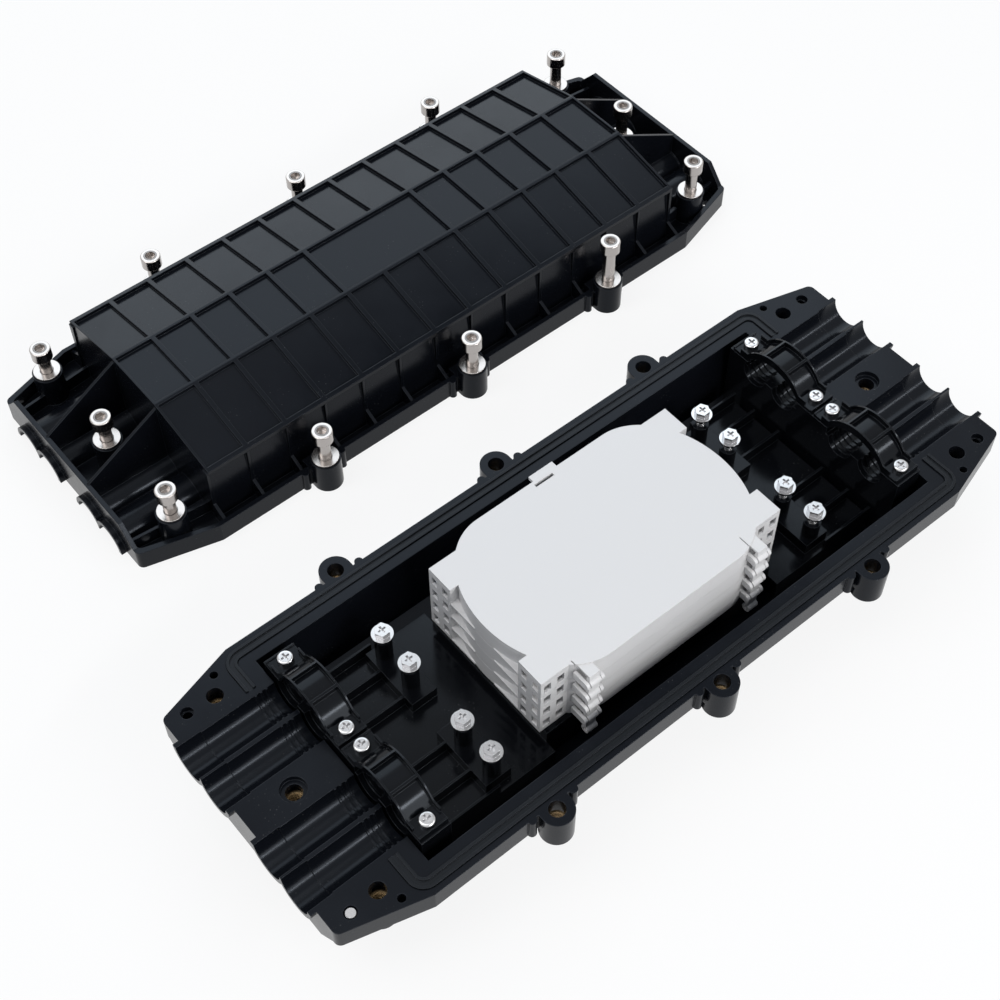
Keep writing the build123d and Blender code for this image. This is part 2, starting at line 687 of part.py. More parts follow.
def tray(level):
    """One splice tray, with its hinge pins and the eyes that hang below it."""
    floor = HALF_HEIGHT + STACK_BOTTOM + level * TRAY_PITCH
    height = TRAY_PITCH - TRAY_GAP
    body = extrude(place(tray_outline(), 0, 0, floor), height)
    body += extrude(place(tray_floor_plan(), 0, 0, floor), TRAY_FLOOR)
    tabs = Pos(0, 0, floor + TRAY_FLOOR) * extrude(tray_oval(), height)
    body -= [hollow - tabs for hollow in tab_hollows(floor)]
    body -= extrude(place(tray_oval(TRAY_WALL), 0, 0, floor + TRAY_FLOOR), height)
    for x in HINGE_XS:
        body += hinge_ears(x, floor)
        body += hinge_eye(x, floor)
    return body + splice_holder(floor)


def tray_lid():
    """Flat lid of the stack, with its latch tab and hinge eyes."""
    floor = HALF_HEIGHT + STACK_BOTTOM + TRAY_COUNT * TRAY_PITCH
    lid = extrude(place(tray_outline(), 0, 0, floor), LID_THICKNESS)
    top = floor + LID_THICKNESS
    edge = TRAY_WIDTH / 2
    half = LATCH_LENGTH / 2
    lid += block(LATCH_X - half, LATCH_X + half, edge - LATCH_STAND, edge + LATCH_STAND, floor, top)
    slots = [(0.0, edge - LATCH_SLOT_INSET, LATCH_SLOT_LENGTH, LATCH_SLOT_WIDTH)]
    for x in HINGE_XS:
        lid += hinge_eye(x, floor)
        middle = -edge + LID_SLIT_INSET + LID_SLIT_LENGTH / 2
        slots.append((x + LID_SLIT_OFFSET, middle, LID_SLIT_WIDTH, LID_SLIT_LENGTH))
    for x, y, length, width in slots:
        lid -= block(x - length / 2, x + length / 2, y - width / 2, y + width / 2, floor, top)
    return lid


# Platform and posts under the trays

def tray_platform():
    """Black bracket that carries the trays, with a lower wing at each end for the posts."""
    top = HALF_HEIGHT + STACK_BOTTOM - PLATFORM_CLEARANCE
    wing_top = HALF_HEIGHT + WING_TOP
    half = PLATFORM_LENGTH / 2
    side = PLATFORM_WIDTH / 2
    wing_side = WING_WIDTH / 2
    floor_at = HALF_HEIGHT + cavity_floor(side) + PLATFORM_CLEARANCE
    wing_floor = HALF_HEIGHT + cavity_floor(wing_side) + PLATFORM_CLEARANCE
    body = block(-half, half, -side, side, top - PLATFORM_WALL, top)
    for sign in (-1, 1):
        low, high = sorted((sign * side, sign * (side - PLATFORM_WALL)))
        body += block(-half, half, low, high, floor_at, top)
        low, high = sorted((sign * half, sign * (half - PLATFORM_WALL)))
        body += block(low, high, -side, side, wing_top - PLATFORM_WALL, top)
        low, high = sorted((sign * half, sign * WING_REACH))
        body += block(low, high, -wing_side, wing_side, wing_top - PLATFORM_WALL, wing_top)
        for edge in (-1, 1):
            y_low, y_high = sorted((edge * wing_side, edge * (wing_side - PLATFORM_WALL)))
            body += block(low, high, y_low, y_high, wing_floor, wing_top)
        body += wing_blocks(sign, wing_top)
    return body


def wing_blocks(sign, wing_top):
    """Raised blocks under the posts of one wing, and the ribs from them to the wing's end."""
    pieces = []
    block_top = wing_top + BLOCK_HEIGHT
    inner = POST_X - BLOCK_LENGTH / 2
    outer = POST_X + BLOCK_LENGTH / 2
    edge = WING_WIDTH / 2
    spans = [(inner, outer, BLOCK_LOW_Y, BLOCK_HIGH_Y)]
    for y in WING_RIB_YS:
        spans.append((outer, WING_REACH, y - WING_RIB_WIDTH / 2, y + WING_RIB_WIDTH / 2))
    spans.append((outer - BLOCK_EDGE_LENGTH, WING_REACH, edge - WING_RIB_WIDTH, edge))
    for x_low, x_high, y_low, y_high in spans:
        for side in (-1, 1):
            xs = sorted((sign * x_low, sign * x_high))
            ys = sorted((side * y_low, side * y_high))
            pieces.append(block(*xs, *ys, wing_top - PLATFORM_WALL / 2, block_top))
    return pieces


def post_names():
    """Name and place of each strength member post."""
    places = {}
    for end, x in (("left", -POST_X), ("right", POST_X)):
        ys = (POST_YS[0], POST_YS[1], -POST_YS[1], -POST_YS[0])
        for number, y in enumerate(ys, 1):
            places[f"{end}_{number}"] = (x, y)
    return places


def strength_post(name, x, y):
    """Black sleeve that the post screw threads into."""
    low = HALF_HEIGHT + WING_TOP + BLOCK_HEIGHT
    high = HALF_HEIGHT + (POST_TOP_LEFT if name.startswith("left") else POST_TOP_RIGHT)
    post = rod(x, y, low, high, POST_DIAMETER)
    return post - rod(x, y, low + 1, high, POST_SCREW_DIAMETER + 2 * SCREW_CLEARANCE)


def post_screw(x, y):
    """Hexagon head screw with its fixed washer and cross recess."""
    top = HALF_HEIGHT + POST_SCREW_TOP
    under = top - POST_SCREW_HEAD_HEIGHT - POST_SCREW_FLANGE_THICKNESS
    screw = rod(0, 0, HALF_HEIGHT - POST_SCREW_REACH, under, POST_SCREW_DIAMETER)
    screw += rod(0, 0, under, under + POST_SCREW_FLANGE_THICKNESS, POST_SCREW_FLANGE)
    head = extrude(RegularPolygon(POST_SCREW_HEAD / 2, 6, major_radius=False), POST_SCREW_HEAD_HEIGHT)
    screw += place(head, 0, 0, under + POST_SCREW_FLANGE_THICKNESS)
    screw -= cross_recess(top, POST_SCREW_HEAD * 0.6)
    return place(screw, x, y)


def cross_recess(top, span):
    """Cross-shaped driver recess below a given height."""
    width = span / 4
    depth = span / 3
    recess = block(-span / 2, span / 2, -width / 2, width / 2, top - depth, top)
    return recess + block(-width / 2, width / 2, -span / 2, span / 2, top - depth, top)


# Cable clamps

def clamp_band(thickness):
    """Arched section of a clamp: two lands and the arch between them."""
    inner = CLAMP_INNER_Y - CLAMP_LAND
    outer = CLAMP_OUTER_Y + CLAMP_LAND
    foot_in = CLAMP_INNER_Y + CLAMP_LAND
    foot_out = CLAMP_OUTER_Y - CLAMP_LAND
    middle = (foot_in + foot_out) / 2
    low = CLAMP_SEAT
    high = CLAMP_SEAT + thickness
    lower = [Line((0, inner, low), (0, foot_in, low)),
             ThreePointArc((0, foot_in, low), (0, middle, low + CLAMP_RISE), (0, foot_out, low)),
             Line((0, foot_out, low), (0, outer, low))]
    upper = [Line((0, outer, low), (0, outer, high)),
             Line((0, outer, high), (0, foot_out, high)),
             ThreePointArc((0, foot_out, high), (0, middle, high + CLAMP_RISE), (0, foot_in, high)),
             Line((0, foot_in, high), (0, inner, high)),
             Line((0, inner, high), (0, inner, low))]
    return make_face(Wire(lower + upper))


def clamp_span(y_low, y_high):
    """Box over a stretch of a clamp, used to keep part of its section."""
    half = CLAMP_WIDTH / 2
    return block(-half, half, y_low, y_high, 0, CLAMP_SEAT + 3 * CLAMP_RISE)


def cable_clamp(x, side):
    """Arched channel that holds two cables down, with cross gussets between its edges."""
    half = CLAMP_WIDTH / 2
    edge = CLAMP_THICKNESS + CLAMP_EDGE_HEIGHT
    lip = CLAMP_THICKNESS + CLAMP_LAND_LIP
    middle = (CLAMP_INNER_Y + CLAMP_OUTER_Y) / 2
    clamp = extrude(place(clamp_band(CLAMP_THICKNESS), -half), CLAMP_WIDTH, dir=(1, 0, 0))
    for start in (-half, half - CLAMP_EDGE_THICKNESS):
        wall = extrude(place(clamp_band(edge), start), CLAMP_EDGE_THICKNESS, dir=(1, 0, 0))
        clamp += wall & clamp_span(CLAMP_INNER_Y, CLAMP_OUTER_Y)
    for low in (CLAMP_INNER_Y - CLAMP_LAND, CLAMP_OUTER_Y + CLAMP_LAND - CLAMP_EDGE_THICKNESS):
        clamp += block(-half, half, low, low + CLAMP_EDGE_THICKNESS, CLAMP_SEAT, CLAMP_SEAT + lip)
    solid = extrude(place(clamp_band(edge), -half), CLAMP_WIDTH, dir=(1, 0, 0))
    for y in (middle - CLAMP_GUSSET_REACH, middle + CLAMP_GUSSET_REACH):
        thick = CLAMP_GUSSET_THICKNESS / 2
        clamp += solid & clamp_span(y - thick, y + thick)
    for y in (CLAMP_INNER_Y, CLAMP_OUTER_Y):
        clamp -= rod(0, y, CLAMP_SEAT, CLAMP_SEAT + edge, CLAMP_SCREW + 2 * SCREW_CLEARANCE)
        clamp -= rod(0, y, CLAMP_SEAT + CLAMP_THICKNESS, CLAMP_SEAT + 2 * edge, CLAMP_SCREW_HEAD + 1)
    if side < 0:
        clamp = mirror(clamp, about=Plane.XZ)
    return place(clamp, x, 0, HALF_HEIGHT)


def cable_cradle(x):
    """Hollow bracket across one end of the base, with a ridged seat under each cable."""
    half = CRADLE_LENGTH / 2
    across = CRADLE_HALF_WIDTH
    bottom = cavity_floor(across) + CRADLE_CLEARANCE
    land_floor = CLAMP_SEAT - CRADLE_LAND
    cradle = block(-half, half, -across, across, bottom, 0)
    inner = half - CRADLE_WALL
    hollow = block(-inner, inner, CRADLE_WALL - across, across - CRADLE_WALL, bottom, -CRADLE_WALL)
    for y in port_centres():
        hollow -= x_bar(-half, half, y, CRADLE_RADIUS + CRADLE_WALL)
    cradle -= hollow
    lands = [(-across, -CLAMP_OUTER_Y + CRADLE_LAND_HALF), (CLAMP_OUTER_Y - CRADLE_LAND_HALF, across),
             (-CLAMP_INNER_Y - CLAMP_LAND, CLAMP_INNER_Y + CLAMP_LAND)]
    for low, high in lands:
        cradle += block(-half, half, low, high, -CRADLE_WALL, CLAMP_SEAT)
        cradle -= block(-inner, inner, low + CRADLE_WALL, high - CRADLE_WALL, bottom, land_floor)
    pitch = CRADLE_LENGTH / (CRADLE_RIDGES + 1)
    for y in port_centres():
        seat = x_bar(-half, half, y, CRADLE_RADIUS)
        for count in range(CRADLE_RIDGES):
            start = (count + 1) * pitch - half - PORT_RIDGE_WIDTH / 2
            ring = x_bar(start, start + PORT_RIDGE_WIDTH, y, CRADLE_RADIUS + 1)
            seat -= ring - x_bar(start, start + PORT_RIDGE_WIDTH, y, CRADLE_RADIUS - PORT_RIDGE_HEIGHT)
        cradle -= seat
    for y in (CLAMP_OUTER_Y, CLAMP_INNER_Y, -CLAMP_INNER_Y, -CLAMP_OUTER_Y):
        cradle -= rod(0, y, bottom, land_floor, PILLAR_DIAMETER + 2 * CRADLE_CLEARANCE)
        cradle -= rod(0, y, land_floor, CLAMP_SEAT, CLAMP_SCREW + 2 * SCREW_CLEARANCE)
    return place(cradle, x, 0, HALF_HEIGHT)


def clamp_screws(x, side):
    """The two pan head screws of a clamp, as separate solids."""
    screws = []
    for y in (CLAMP_INNER_Y, CLAMP_OUTER_Y):
        low = CLAMP_SEAT + CLAMP_THICKNESS
        top = low + CLAMP_SCREW_HEAD_HEIGHT
        screw = rod(0, 0, low - CLAMP_SCREW_REACH, low, CLAMP_SCREW)
        head = rod(0, 0, low, top, CLAMP_SCREW_HEAD)
        rim = head.edges().filter_by(GeomType.CIRCLE).sort_by(Axis.Z)[-1]
        screw += fillet(rim, CLAMP_SCREW_HEAD_HEIGHT * 0.4)
        screw -= cross_recess(top, CLAMP_SCREW_HEAD * 0.55)
        screws.append(place(screw, x, side * y, HALF_HEIGHT))
    return Compound(screws)


def dowel_pin():
    """Steel pin left in the near left dowel hole of the base."""
    low = HALF_HEIGHT - HOLE_DEPTH
    return rod(-DOWEL_X, -DOWEL_Y, low, low + DOWEL_LENGTH, DOWEL_BORE - 2 * DOWEL_FIT)


def write(name, shape):
    """Write one piece to its own file."""
    export_step(shape, f"parts/{name}.step")


write("base_shell", base_shell())
write("cover_shell", cover_shell())
write("seal_far", seal_strip(1))
write("seal_near", seal_strip(-1))
write("brass_inserts", brass_inserts())
write("cover_washers", cover_washers())
write("dowel_pin", dowel_pin())
write("tray_platform", tray_platform())
for bolt, (bolt_x, bolt_y) in bolt_places().items():
    write(f"cover_bolt_{bolt}", cover_bolt(bolt, bolt_x, bolt_y))
for index in range(TRAY_COUNT):
    write(f"tray_{index + 1}", tray(index))
write("tray_lid", tray_lid())
for post, (post_x, post_y) in post_names().items():
    write(f"post_{post}", strength_post(post, post_x, post_y))
    write(f"post_screw_{post}", post_screw(post_x, post_y))
for end_name, clamp_x in (("left", -CLAMP_X), ("right", CLAMP_X)):
    write(f"cradle_{end_name}", cable_cradle(clamp_x))
    for side_name, clamp_side in (("far", 1), ("near", -1)):
        write(f"clamp_{end_name}_{side_name}", cable_clamp(clamp_x, clamp_side))
        write(f"clamp_screws_{end_name}_{side_name}", clamp_screws(clamp_x, clamp_side))
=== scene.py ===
import logging
import math
from dataclasses import dataclass
from enum import Enum

import bmesh
import bpy
from mathutils import Matrix, Vector


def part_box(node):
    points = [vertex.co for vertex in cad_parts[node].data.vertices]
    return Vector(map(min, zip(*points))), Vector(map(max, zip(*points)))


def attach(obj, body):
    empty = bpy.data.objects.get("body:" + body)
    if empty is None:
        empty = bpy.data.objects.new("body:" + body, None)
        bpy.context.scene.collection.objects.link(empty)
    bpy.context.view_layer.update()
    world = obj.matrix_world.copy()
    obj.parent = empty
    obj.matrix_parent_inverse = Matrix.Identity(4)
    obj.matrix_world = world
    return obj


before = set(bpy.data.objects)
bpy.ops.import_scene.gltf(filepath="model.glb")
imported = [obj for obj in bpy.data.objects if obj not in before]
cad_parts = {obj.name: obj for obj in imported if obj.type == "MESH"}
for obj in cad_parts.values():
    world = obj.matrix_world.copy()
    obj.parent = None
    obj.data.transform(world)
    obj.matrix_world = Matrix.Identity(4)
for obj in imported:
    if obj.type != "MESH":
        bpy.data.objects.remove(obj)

# Looks of an opened in-line fibre closure. Metres, in the frame of the solids: X along the
# closure, Y towards the cover half, Z up, the origin under the middle of the base half.

MM = 0.001
WELD_DISTANCE = 0.01 * MM
ROOT_BODY = "closure"
Triple = tuple[float, float, float]
log = logging.getLogger("closure")


class Level(Enum):
    """The four trays of the stack, from the lowest up, and the lid."""

    FIRST = "tray_1"
    SECOND = "tray_2"
    THIRD = "tray_3"
    FOURTH = "tray_4"
    LID = "tray_lid"


class Half(Enum):
    """The two halves of the shell."""

    BASE = "base_shell"
    COVER = "cover_shell"


# Shader node groups

BEVEL_SAMPLES = 6
FINE_DETAIL = 3.0
PATCH_DETAIL = 4.0
PATCH_ROUGHNESS = 0.6
PATCH_RANGE = (0.3, 0.7)
SPECK_RANGE = (0.16, 0.05)
DUSTY_PATCH_SCALE = 55.0
DUSTY_PATCH_RANGE = (0.52, 0.66)
DUST_COLOUR = (0.45, 0.44, 0.42)
TURNED_STRETCH = (0.05, 0.05, 1.0)

# Sockets of a colour mix node, which are found by their place

MIX_FACTOR = 0
MIX_FIRST = 6
MIX_SECOND = 7
MIX_RESULT = 2


def group_socket(tree: bpy.types.NodeTree, name: str, way: str, kind: str,
                 value: object = None) -> None:
    """Add one socket to a node group.

    Args:
        tree: the node group.
        name: the socket's name.
        way: INPUT or OUTPUT.
        kind: the socket type's name.
        value: the socket's default, for a plain input.
    """
    socket = tree.interface.new_socket(name=name, in_out=way, socket_type=kind)
    if value is not None:
        socket.default_value = value


def edge_group() -> bpy.types.NodeTree:
    """Build the group that rounds the edges' shading and finds where they are, for a painted
    highlight along them.

    Returns:
        A group with a mask of the edges and a rounded normal.
    """
    tree = bpy.data.node_groups.new("Edge highlight", "ShaderNodeTree")
    group_socket(tree, "Radius", "INPUT", "NodeSocketFloat", 0.0006)
    group_socket(tree, "Spread", "INPUT", "NodeSocketFloat", 4.0)
    group_socket(tree, "Mask", "OUTPUT", "NodeSocketFloat")
    group_socket(tree, "Normal", "OUTPUT", "NodeSocketVector")
    nodes, links = tree.nodes, tree.links
    inlet = nodes.new("NodeGroupInput")
    outlet = nodes.new("NodeGroupOutput")
    rounding = nodes.new("ShaderNodeBevel")
    rounding.samples = BEVEL_SAMPLES
    geometry = nodes.new("ShaderNodeNewGeometry")
    turn = nodes.new("ShaderNodeVectorMath")
    turn.operation = "DOT_PRODUCT"
    away = nodes.new("ShaderNodeMath")
    away.operation = "SUBTRACT"
    away.inputs[0].default_value = 1.0
    spread = nodes.new("ShaderNodeMath")
    spread.operation = "MULTIPLY"
    spread.use_clamp = True
    links.new(inlet.outputs["Radius"], rounding.inputs["Radius"])
    links.new(rounding.outputs["Normal"], turn.inputs[0])
    links.new(geometry.outputs["Normal"], turn.inputs[1])
    links.new(turn.outputs["Value"], away.inputs[1])
    links.new(away.outputs["Value"], spread.inputs[0])
    links.new(inlet.outputs["Spread"], spread.inputs[1])
    links.new(spread.outputs["Value"], outlet.inputs["Mask"])
    links.new(rounding.outputs["Normal"], outlet.inputs["Normal"])
    return tree


def grain_group() -> bpy.types.NodeTree:
    """Build the group for moulded or turned grain: a fine height and a patchy roughness.

    Returns:
        A group with a height and a roughness that vary over the surface.
    """
    tree = bpy.data.node_groups.new("Grain", "ShaderNodeTree")
    group_socket(tree, "Vector", "INPUT", "NodeSocketVector")
    group_socket(tree, "Fine scale", "INPUT", "NodeSocketFloat", 1800.0)
    group_socket(tree, "Patch scale", "INPUT", "NodeSocketFloat", 28.0)
    group_socket(tree, "Rough low", "INPUT", "NodeSocketFloat", 0.2)
    group_socket(tree, "Rough high", "INPUT", "NodeSocketFloat", 0.4)
    group_socket(tree, "Height", "OUTPUT", "NodeSocketFloat")
    group_socket(tree, "Roughness", "OUTPUT", "NodeSocketFloat")
    nodes, links = tree.nodes, tree.links
    inlet = nodes.new("NodeGroupInput")
    outlet = nodes.new("NodeGroupOutput")
    fine = nodes.new("ShaderNodeTexNoise")
    fine.inputs["Detail"].default_value = FINE_DETAIL
    patch = nodes.new("ShaderNodeTexNoise")
    patch.inputs["Detail"].default_value = PATCH_DETAIL
    patch.inputs["Roughness"].default_value = PATCH_ROUGHNESS
    spread = nodes.new("ShaderNodeMapRange")
    spread.inputs["From Min"].default_value = PATCH_RANGE[0]
    spread.inputs["From Max"].default_value = PATCH_RANGE[1]
    links.new(inlet.outputs["Vector"], fine.inputs["Vector"])
    links.new(inlet.outputs["Vector"], patch.inputs["Vector"])
    links.new(inlet.outputs["Fine scale"], fine.inputs["Scale"])
    links.new(inlet.outputs["Patch scale"], patch.inputs["Scale"])
    links.new(patch.outputs["Fac"], spread.inputs["Value"])
    links.new(inlet.outputs["Rough low"], spread.inputs["To Min"])
    links.new(inlet.outputs["Rough high"], spread.inputs["To Max"])
    links.new(fine.outputs["Fac"], outlet.inputs["Height"])
    links.new(spread.outputs["Result"], outlet.inputs["Roughness"])
    return tree


def dust_group() -> bpy.types.NodeTree:
    """Build the group for sparse specks of dust, which gather in patches.

    Returns:
        A group with a mask that rises to the amount on a speck.
    """
    tree = bpy.data.node_groups.new("Dust", "ShaderNodeTree")
    group_socket(tree, "Vector", "INPUT", "NodeSocketVector")
    group_socket(tree, "Scale", "INPUT", "NodeSocketFloat", 420.0)
    group_socket(tree, "Amount", "INPUT", "NodeSocketFloat", 0.2)
    group_socket(tree, "Mask", "OUTPUT", "NodeSocketFloat")
    nodes, links = tree.nodes, tree.links
    inlet = nodes.new("NodeGroupInput")
    outlet = nodes.new("NodeGroupOutput")
    specks = nodes.new("ShaderNodeTexVoronoi")
    near = nodes.new("ShaderNodeMapRange")
    near.inputs["From Min"].default_value = SPECK_RANGE[0]
    near.inputs["From Max"].default_value = SPECK_RANGE[1]
    patch = nodes.new("ShaderNodeTexNoise")
    patch.inputs["Scale"].default_value = DUSTY_PATCH_SCALE
    where = nodes.new("ShaderNodeMapRange")
    where.inputs["From Min"].default_value = DUSTY_PATCH_RANGE[0]
    where.inputs["From Max"].default_value = DUSTY_PATCH_RANGE[1]
    both = nodes.new("ShaderNodeMath")
    both.operation = "MULTIPLY"
    amount = nodes.new("ShaderNodeMath")
    amount.operation = "MULTIPLY"
    links.new(inlet.outputs["Vector"], specks.inputs["Vector"])
    links.new(inlet.outputs["Vector"], patch.inputs["Vector"])
    links.new(inlet.outputs["Scale"], specks.inputs["Scale"])
    links.new(specks.outputs["Distance"], near.inputs["Value"])
    links.new(patch.outputs["Fac"], where.inputs["Value"])
    links.new(near.outputs["Result"], both.inputs[0])
    links.new(where.outputs["Result"], both.inputs[1])
    links.new(both.outputs["Value"], amount.inputs[0])
    links.new(inlet.outputs["Amount"], amount.inputs[1])
    links.new(amount.outputs["Value"], outlet.inputs["Mask"])
    return tree


def add_group(tree: bpy.types.NodeTree, group: bpy.types.NodeTree,
              values: dict[str, float]) -> bpy.types.Node:
    """Add a shared group to a material.

    Args:
        tree: the material's nodes.
        group: the shared group.
        values: what its plain inputs are set to.

    Returns:
        The group's node.
    """
    node = tree.nodes.new("ShaderNodeGroup")
    node.node_tree = group
    for name, value in values.items():
        node.inputs[name].default_value = value
    return node


def add_mix(tree: bpy.types.NodeTree, mask: bpy.types.NodeSocket, over: Triple) -> bpy.types.Node:
    """Add a node that lays one colour over another.

    Args:
        tree: the material's nodes.
        mask: where the upper colour shows.
        over: the upper colour.

    Returns:
        The mix node, whose first colour is still to be given.
    """
    node = tree.nodes.new("ShaderNodeMix")
    node.data_type = "RGBA"
    node.inputs[MIX_SECOND].default_value = (*over, 1.0)
    tree.links.new(mask, node.inputs[MIX_FACTOR])
    return node


@dataclass(frozen=True)
class Effects:
    """The shader groups that every finish shares."""

    edge: bpy.types.NodeTree
    grain: bpy.types.NodeTree
    dust: bpy.types.NodeTree


@dataclass(frozen=True)
class Finish:
    """One finish of the closure.

    Colours are linear. The edge highlight colour is a painted highlight: a lighter colour laid
    along the edges. The rough pair is the range that the surface's patches take.
    """

    name: str
    colour: Triple
    edge_highlight_colour: Triple
    rough: tuple[float, float]
    metallic: float = 0.0
    specular: float = 0.5
    tint: Triple = (1.0, 1.0, 1.0)
    grain_scale: float = 1800.0
    grain_height: float = 0.00002
    patch_scale: float = 28.0
    edge_radius: float = 0.0006
    edge_spread: float = 1.5
    dust: float = 0.0
    turned: bool = False

    def build(self, effects: Effects) -> bpy.types.Material:
        """Make the material.

        Args:
            effects: the shared shader groups.

        Returns:
            The finished material.
        """
        material = bpy.data.materials.new(self.name)
        material.use_nodes = True
        tree = material.node_tree
        nodes, links = tree.nodes, tree.links
        shader = nodes["Principled BSDF"]
        shader.inputs["Metallic"].default_value = self.metallic
        shader.inputs["Specular IOR Level"].default_value = self.specular
        shader.inputs["Specular Tint"].default_value = (*self.tint, 1.0)
        place = nodes.new("ShaderNodeTexCoord")
        spot = place.outputs["Object"]
        if self.turned:
            squeeze = nodes.new("ShaderNodeMapping")
            squeeze.inputs["Scale"].default_value = TURNED_STRETCH
            links.new(spot, squeeze.inputs["Vector"])
            spot = squeeze.outputs["Vector"]
        grain = add_group(tree, effects.grain, {
            "Fine scale": self.grain_scale,
            "Patch scale": self.patch_scale,
            "Rough low": self.rough[0],
            "Rough high": self.rough[1],
        })
        edge = add_group(tree, effects.edge, {
            "Radius": self.edge_radius,
            "Spread": self.edge_spread,
        })
        dust = add_group(tree, effects.dust, {"Amount": self.dust})
        bump = nodes.new("ShaderNodeBump")
        bump.inputs["Distance"].default_value = self.grain_height
        # Painted highlight: the edges take the lighter edge highlight colour.
        edge_lit = add_mix(tree, edge.outputs["Mask"], self.edge_highlight_colour)
        edge_lit.inputs[MIX_FIRST].default_value = (*self.colour, 1.0)
        dusty = add_mix(tree, dust.outputs["Mask"], DUST_COLOUR)
        links.new(spot, grain.inputs["Vector"])
        links.new(place.outputs["Object"], dust.inputs["Vector"])
        links.new(grain.outputs["Height"], bump.inputs["Height"])
        links.new(edge.outputs["Normal"], bump.inputs["Normal"])
        links.new(edge_lit.outputs[MIX_RESULT], dusty.inputs[MIX_FIRST])
        links.new(dusty.outputs[MIX_RESULT], shader.inputs["Base Color"])
        links.new(grain.outputs["Roughness"], shader.inputs["Roughness"])
        links.new(bump.outputs["Normal"], shader.inputs["Normal"])
        return material


@dataclass(frozen=True)
class Palette:
    """All the finishes of the closure."""

    # Each finish's second colour is the painted highlight along its edges.
    shell: Finish = Finish(
        "Housing black", (0.0040, 0.0048, 0.0068), (0.034, 0.038, 0.045), (0.15, 0.25),
        specular=0.14, tint=(0.80, 0.88, 1.0), grain_height=0.000012, dust=0.10)
    bracket: Finish = Finish(
        "Bracket black", (0.0028, 0.0032, 0.0042), (0.065, 0.070, 0.078), (0.10, 0.18),
        specular=0.15, tint=(0.82, 0.90, 1.0), grain_height=0.00001, edge_radius=0.0004, dust=0.08)
    seal: Finish = Finish(
        "Seal rubber", (0.0070, 0.0078, 0.0090), (0.04, 0.042, 0.047), (0.26, 0.36),
        specular=0.16, tint=(0.80, 0.88, 1.0), grain_height=0.00001, edge_radius=0.0004)
    # The brass colour is darkened as painted shade, so the deep insert bores look dark.
    brass: Finish = Finish(
        "Turned brass", (0.27, 0.19, 0.10), (0.50, 0.40, 0.26), (0.22, 0.36),
        metallic=1.0, edge_radius=0.0003, turned=True)
    bolt: Finish = Finish(
        "Stainless bolt", (0.42, 0.395, 0.38), (0.60, 0.58, 0.56), (0.16, 0.28),
        metallic=1.0, grain_height=0.000004, edge_radius=0.0005, turned=True)
    # The socket finish is painted shade: darker, duller steel on a flat ring around each bolt's
    # socket, so the socket looks wider and darker.
    socket: Finish = Finish(
        "Painted socket shade", (0.20, 0.19, 0.185), (0.24, 0.23, 0.22), (0.30, 0.40),
        metallic=1.0, edge_radius=0.0002, turned=True)
    screw: Finish = Finish(
        "Bright plated screw", (0.46, 0.46, 0.47), (0.70, 0.70, 0.71), (0.14, 0.26),
        metallic=1.0, grain_height=0.000002, edge_radius=0.00015, turned=True)
    tray: Finish = Finish(
        "Tray white", (0.642, 0.632, 0.626), (0.725, 0.715, 0.710), (0.38, 0.50),
        specular=0.4, grain_scale=1400.0, grain_height=0.000015, edge_radius=0.0004)


class Dresser:
    """Puts the finishes on the solids and keeps the shared materials."""

    def __init__(self, palette: Palette) -> None:
        """Build the shared effects and every material of the palette.

        Args:
            palette: the closure's finishes.
        """
        effects = Effects(edge_group(), grain_group(), dust_group())
        self.shell = palette.shell.build(effects)
        self.bracket = palette.bracket.build(effects)
        self.seal = palette.seal.build(effects)
        self.brass = palette.brass.build(effects)
        self.bolt = palette.bolt.build(effects)
        self.socket = palette.socket.build(effects)
        self.screw = palette.screw.build(effects)
        self.tray = palette.tray.build(effects)

    def dress(self, node: str, material: bpy.types.Material) -> None:
        """Give one solid its material.

        Args:
            node: the solid's name.
            material: the finish that it gets.
        """
        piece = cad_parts[node]
        piece.data.materials.clear()
        piece.data.materials.append(material)
        log.info("dressed %s with %s", node, material.name)


# Repeated small forms

def middle_of(node: str) -> tuple[float, float]:
    """Plan centre of a solid at rest.

    Args:
        node: the solid's name.

    Returns:
        Its X and Y.
    """
    low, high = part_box(node)
    return (low[0] + high[0]) / 2, (low[1] + high[1]) / 2


def islands(node: str) -> list[tuple[float, float]]:
    """Plan centres of the separate rings or discs that make up one solid node.

    Args:
        node: the name of a node of several round solids.

    Returns:
        The X and Y of each, in order of X and then Y.
    """
    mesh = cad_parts[node].data
    work = bmesh.new()
    work.from_mesh(mesh)
    bmesh.ops.remove_doubles(work, verts=work.verts, dist=WELD_DISTANCE)
    left = set(work.verts)
    centres = []
    while left:
        seed = left.pop()
        group, open_ends = [seed], [seed]
        while open_ends:
            for link in open_ends.pop().link_edges:
                for vert in link.verts:
                    if vert in left:
                        left.remove(vert)
                        group.append(vert)
                        open_ends.append(vert)
        xs = [v.co.x for v in group]
        ys = [v.co.y for v in group]
        centres.append(((min(xs) + max(xs)) / 2, (min(ys) + max(ys)) / 2))
    work.free()
    return sorted(centres)


